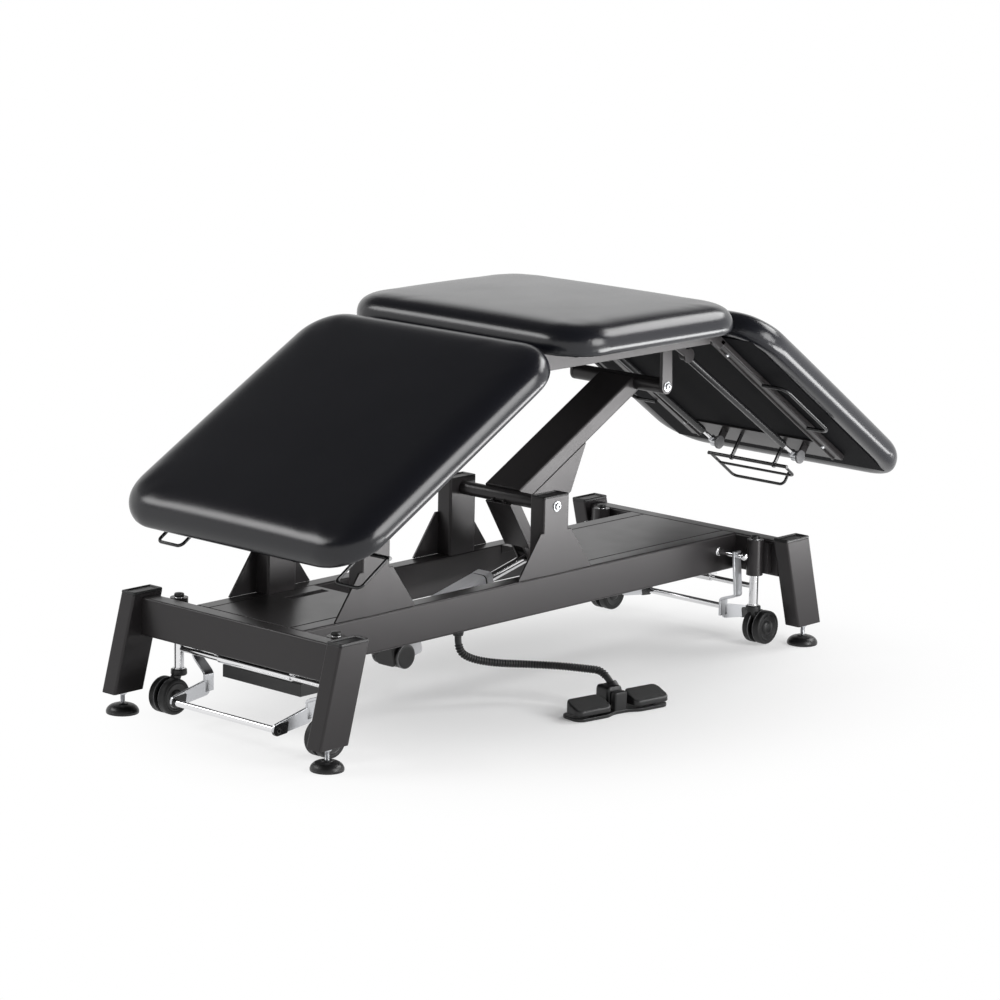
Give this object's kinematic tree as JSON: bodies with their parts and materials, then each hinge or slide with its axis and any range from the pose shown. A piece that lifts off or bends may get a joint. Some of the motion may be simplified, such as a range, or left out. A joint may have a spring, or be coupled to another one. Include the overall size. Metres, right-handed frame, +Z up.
{
  "type": "treatment couch",
  "caption": "Height-adjustable treatment couch: upholstered seat and two tilting end sections on parallel lift arms, on a tube base with levelling feet, retractable castors and a foot switch.",
  "frame": {"origin": "on the floor, under the middle of the base", "axes": "+X along the couch towards the end section with the side grips, +Y across it away from the foot switch, +Z up"},
  "size_m": [1.8657, 0.7842, 0.7985],
  "materials": {
    "upholstery": "satin",
    "board": "matte",
    "graphite": "satin",
    "chrome": "polished",
    "black_plastic": "satin",
    "castor_wheel": "satin",
    "grey_plastic": "satin",
    "hose": "satin",
    "black_metal": "gloss"
  },
  "bodies": {
    "base": {"actuator_mount": "graphite", "beam_left": "graphite", "beam_right": "graphite", "castor_sleeves": "graphite", "control_box": "black_plastic", "hose": "hose", "hose_gland": "black_plastic", "legs_left": "graphite", "legs_right": "graphite", "posts_left": "graphite", "posts_right": "graphite", "rail_far": "graphite", "rail_near": "graphite", "switch_base": "black_plastic", "tray_left": "graphite", "tray_right": "graphite", "tube_caps": "black_plastic"},
    "actuator_body": {"actuator_body": "grey_plastic"},
    "actuator_rod": {"actuator_rod": "chrome"},
    "arm_left": {"arm_left": "graphite"},
    "arm_right": {"arm_right": "graphite"},
    "foot_left_far": {"foot_left_far": "black_plastic"},
    "foot_left_near": {"foot_left_near": "black_plastic"},
    "foot_right_far": {"foot_right_far": "black_plastic"},
    "foot_right_near": {"foot_right_near": "black_plastic"},
    "hood_left_far": {"hood_left_far": "black_plastic"},
    "hood_left_near": {"hood_left_near": "black_plastic"},
    "hood_right_far": {"hood_right_far": "black_plastic"},
    "hood_right_near": {"hood_right_near": "black_plastic"},
    "left_gas_cylinders": {"left_gas_cylinders": "black_metal"},
    "left_gas_rods": {"left_gas_rods": "chrome"},
    "left_release": {"left_release": "black_metal"},
    "pedal_left": {"pedal_left": "chrome"},
    "pedal_right": {"pedal_right": "chrome"},
    "right_gas_cylinders": {"right_gas_cylinders": "black_metal"},
    "right_gas_rods": {"right_gas_rods": "chrome"},
    "right_release": {"right_release": "black_metal"},
    "stems_left": {"stems_left": "chrome"},
    "stems_right": {"stems_right": "chrome"},
    "switch_pedal_left": {"switch_pedal_left": "black_plastic"},
    "switch_pedal_right": {"switch_pedal_right": "black_plastic"},
    "wheel_left_far": {"wheel_left_far": "castor_wheel"},
    "wheel_left_near": {"wheel_left_near": "castor_wheel"},
    "wheel_right_far": {"wheel_right_far": "castor_wheel"},
    "wheel_right_near": {"wheel_right_near": "castor_wheel"},
    "upper": {"upper_rails": "graphite", "upper_cross_tubes": "graphite", "arm_hangers": "graphite", "seat_board": "board", "seat_pad": "upholstery"},
    "left_section": {"left_pad": "upholstery", "left_board": "board", "left_rails": "graphite", "left_cross": "graphite"},
    "right_section": {"right_pad": "upholstery", "right_board": "board", "right_rails": "graphite", "right_cross": "graphite", "right_grips": "black_metal", "right_screws": "chrome"}
  },
  "joints": [
    {"name": "lift", "type": "hinge", "parent": "base", "child": "arm_right", "pos_m": [0.0692, 0, 0.386], "axis": [0, -1, 0], "range_deg": [-7, 26]},
    {"name": "lift_follow", "type": "hinge", "parent": "base", "child": "arm_left", "pos_m": [-0.4718, 0, 0.386], "axis": [0, -1, 0], "range_deg": [-7.01, 26.01]},
    {"name": "upper_level", "type": "hinge", "parent": "arm_right", "child": "upper", "pos_m": [0.44529, 0, 0.59447], "axis": [0, -1, 0], "range_deg": [-26.01, 7.01]},
    {"name": "actuator_swing", "type": "hinge", "parent": "base", "child": "actuator_body", "pos_m": [-0.33, 0, 0.124], "axis": [0, -1, 0], "range_deg": [-1.04, 3.71]},
    {"name": "actuator_stroke", "type": "slide", "parent": "actuator_body", "child": "actuator_rod", "axis": [0.9722, 0, 0.2341], "range_m": [-0.01858, 0.06848]},
    {"name": "left_tilt", "type": "hinge", "parent": "upper", "child": "left_section", "pos_m": [-0.09871, 0, 0.72447], "axis": [0, 1, 0], "range_deg": [0, 34]},
    {"name": "left_gas_swing", "type": "hinge", "parent": "upper", "child": "left_gas_cylinders", "pos_m": [-0.14271, 0, 0.65447], "axis": [0, 1, 0], "range_deg": [-0.05, 37.82]},
    {"name": "left_gas_stroke", "type": "slide", "parent": "left_gas_cylinders", "child": "left_gas_rods", "axis": [-0.8859, 0, -0.4638], "range_m": [-0.0002, 0.03486]},
    {"name": "left_release_squeeze", "type": "hinge", "parent": "left_section", "child": "left_release", "pos_m": [-0.57907, 0, 0.39528], "axis": [0, 1, 0], "range_deg": [0, 12], "stiffness_Nm_per_rad": 3, "springref_deg": -2.86},
    {"name": "left_pedal_press", "type": "hinge", "parent": "base", "child": "pedal_left", "pos_m": [-0.612, 0, 0.208], "axis": [0, -1, 0], "range_deg": [0, 10]},
    {"name": "left_stem_drop", "type": "slide", "parent": "base", "child": "stems_left", "axis": [0, 0, -1], "range_m": [-0.0001, 0.00813]},
    {"name": "left_near_swivel", "type": "hinge", "parent": "stems_left", "child": "hood_left_near", "pos_m": [-0.6555, -0.225, 0.09], "axis": [0, 0, 1], "continuous": true},
    {"name": "left_near_roll", "type": "hinge", "parent": "hood_left_near", "child": "wheel_left_near", "pos_m": [-0.6825, -0.225, 0.039], "axis": [0, 1, 0], "continuous": true},
    {"name": "left_near_level", "type": "hinge", "parent": "base", "child": "foot_left_near", "pos_m": [-0.7465, -0.295, 0.03], "axis": [0, 0, 1], "continuous": true},
    {"name": "left_far_swivel", "type": "hinge", "parent": "stems_left", "child": "hood_left_far", "pos_m": [-0.6555, 0.225, 0.09], "axis": [0, 0, 1], "continuous": true},
    {"name": "left_far_roll", "type": "hinge", "parent": "hood_left_far", "child": "wheel_left_far", "pos_m": [-0.6825, 0.225, 0.039], "axis": [0, 1, 0], "continuous": true},
    {"name": "left_far_level", "type": "hinge", "parent": "base", "child": "foot_left_far", "pos_m": [-0.7465, 0.295, 0.03], "axis": [0, 0, 1], "continuous": true},
    {"name": "right_tilt", "type": "hinge", "parent": "upper", "child": "right_section", "pos_m": [0.47529, 0, 0.72447], "axis": [0, -1, 0], "range_deg": [0, 40]},
    {"name": "right_gas_swing", "type": "hinge", "parent": "upper", "child": "right_gas_cylinders", "pos_m": [0.51929, 0, 0.65447], "axis": [0, -1, 0], "range_deg": [-0.05, 44.76]},
    {"name": "right_gas_stroke", "type": "slide", "parent": "right_gas_cylinders", "child": "right_gas_rods", "axis": [0.8273, 0, -0.5618], "range_m": [-0.0002, 0.03811]},
    {"name": "right_release_squeeze", "type": "hinge", "parent": "right_section", "child": "right_release", "pos_m": [0.92057, 0, 0.3492], "axis": [0, -1, 0], "range_deg": [0, 12], "stiffness_Nm_per_rad": 3, "springref_deg": -2.86},
    {"name": "right_pedal_press", "type": "hinge", "parent": "base", "child": "pedal_right", "pos_m": [0.612, 0, 0.208], "axis": [0, 1, 0], "range_deg": [0, 10]},
    {"name": "right_stem_drop", "type": "slide", "parent": "base", "child": "stems_right", "axis": [0, 0, -1], "range_m": [-0.0001, 0.00813]},
    {"name": "right_near_swivel", "type": "hinge", "parent": "stems_right", "child": "hood_right_near", "pos_m": [0.6555, -0.225, 0.09], "axis": [0, 0, 1], "continuous": true},
    {"name": "right_near_roll", "type": "hinge", "parent": "hood_right_near", "child": "wheel_right_near", "pos_m": [0.6825, -0.225, 0.039], "axis": [0, 1, 0], "continuous": true},
    {"name": "right_near_level", "type": "hinge", "parent": "base", "child": "foot_right_near", "pos_m": [0.7465, -0.295, 0.03], "axis": [0, 0, 1], "continuous": true},
    {"name": "right_far_swivel", "type": "hinge", "parent": "stems_right", "child": "hood_right_far", "pos_m": [0.6555, 0.225, 0.09], "axis": [0, 0, 1], "continuous": true},
    {"name": "right_far_roll", "type": "hinge", "parent": "hood_right_far", "child": "wheel_right_far", "pos_m": [0.6825, 0.225, 0.039], "axis": [0, 1, 0], "continuous": true},
    {"name": "right_far_level", "type": "hinge", "parent": "base", "child": "foot_right_far", "pos_m": [0.7465, 0.295, 0.03], "axis": [0, 0, 1], "continuous": true},
    {"name": "switch_left_press", "type": "hinge", "parent": "base", "child": "switch_pedal_left", "pos_m": [0.00041, -0.38011, 0.021], "axis": [0.9877, -0.1564, 0], "range_deg": [0, 5], "stiffness_Nm_per_rad": 8, "springref_deg": -2.86},
    {"name": "switch_right_press", "type": "hinge", "parent": "base", "child": "switch_pedal_right", "pos_m": [0.00041, -0.38011, 0.021], "axis": [0.9877, -0.1564, 0], "range_deg": [0, 5], "stiffness_Nm_per_rad": 8, "springref_deg": -2.86}
  ],
  "couplings": [
    {"joint": "lift_follow", "follows": "lift", "ratio": 1},
    {"joint": "upper_level", "follows": "lift", "ratio": -1},
    {"joint": "actuator_swing", "follows": "lift", "ratio": 0.14096},
    {"joint": "actuator_stroke", "follows": "lift", "m_per_rad": 0.15047},
    {"joint": "left_gas_swing", "follows": "left_tilt", "ratio": 1.1108},
    {"joint": "left_gas_stroke", "follows": "left_tilt", "m_per_rad": 0.058401},
    {"joint": "left_stem_drop", "follows": "left_pedal_press", "m_per_rad": 0.046},
    {"joint": "right_gas_swing", "follows": "right_tilt", "ratio": 1.1178},
    {"joint": "right_gas_stroke", "follows": "right_tilt", "m_per_rad": 0.054307},
    {"joint": "right_stem_drop", "follows": "right_pedal_press", "m_per_rad": 0.046}
  ]
}
